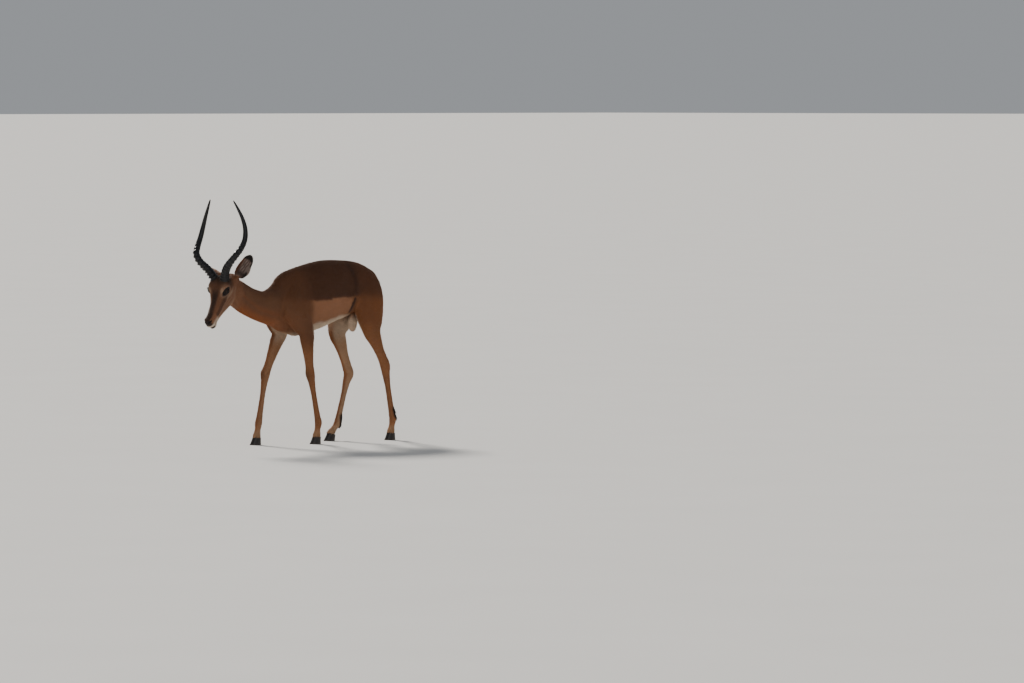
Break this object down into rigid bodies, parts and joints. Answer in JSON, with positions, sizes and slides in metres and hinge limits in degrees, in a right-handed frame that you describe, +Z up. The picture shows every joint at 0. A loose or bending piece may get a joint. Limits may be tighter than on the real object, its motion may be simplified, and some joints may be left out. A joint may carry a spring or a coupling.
{
  "type": "impala antelope",
  "caption": "Life-size still model of an impala ram walking with its head carried low and forward, with ringed lyre-shaped horns.",
  "frame": {"origin": "on the ground, under the middle of the model's box", "axes": "+Z up, the ram faces -Y and its left side is +X"},
  "size_m": [0.3754, 1.2735, 1.278],
  "materials": {
    "coat": "short sleek hair, reddish above, fawn on the flanks and cream below",
    "horn": "ringed black keratin with a satin sheen",
    "eye": "wet and dark brown",
    "hoof": "black keratin, slightly worn"
  },
  "bodies": {
    "root": {"trunk": "coat", "neck": "coat", "head": "coat", "ear_left": "coat", "ear_right": "coat", "foreleg_left": "coat", "foreleg_right": "coat", "hindleg_left": "coat", "hindleg_right": "coat", "tail": "coat", "scrotum": "coat", "horn_left": "horn", "horn_right": "horn", "eye_left": "eye", "eye_right": "eye", "hoof_front_left_inner": "hoof", "hoof_front_left_outer": "hoof", "hoof_front_right_inner": "hoof", "hoof_front_right_outer": "hoof", "hoof_hind_left_inner": "hoof", "hoof_hind_left_outer": "hoof", "hoof_hind_right_inner": "hoof", "hoof_hind_right_outer": "hoof"}
  },
  "joints": []
}
